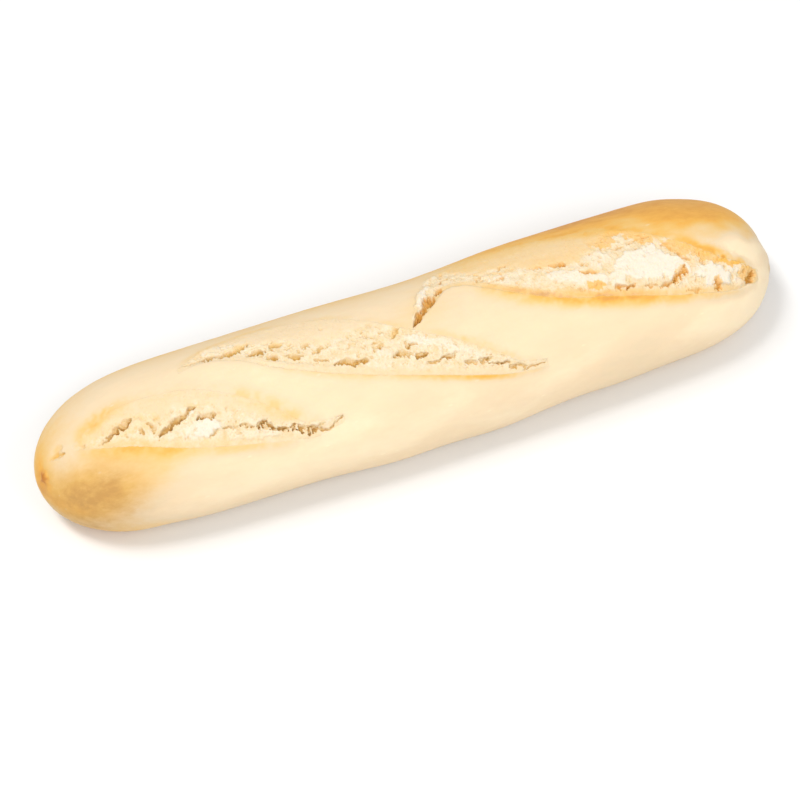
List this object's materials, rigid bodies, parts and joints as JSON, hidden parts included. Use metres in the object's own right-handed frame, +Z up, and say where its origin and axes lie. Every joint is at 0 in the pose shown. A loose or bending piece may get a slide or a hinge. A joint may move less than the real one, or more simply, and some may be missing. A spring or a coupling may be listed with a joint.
{
  "type": "baguette",
  "caption": "Short part-baked baguette with a pale smooth crust, torn diagonal slashes showing the crumb, and a flat sole to rest on.",
  "frame": {"origin": "centre of the loaf's box, on the flat sole that it rests on", "axes": "+X along the loaf, +Y across it towards the side the tips bend to, +Z up out of the slashed crest"},
  "size_m": [0.272, 0.063, 0.0456],
  "materials": {
    "crust": "matte",
    "crumb": "matte"
  },
  "bodies": {
    "root": {"loaf": "crust"}
  },
  "joints": []
}
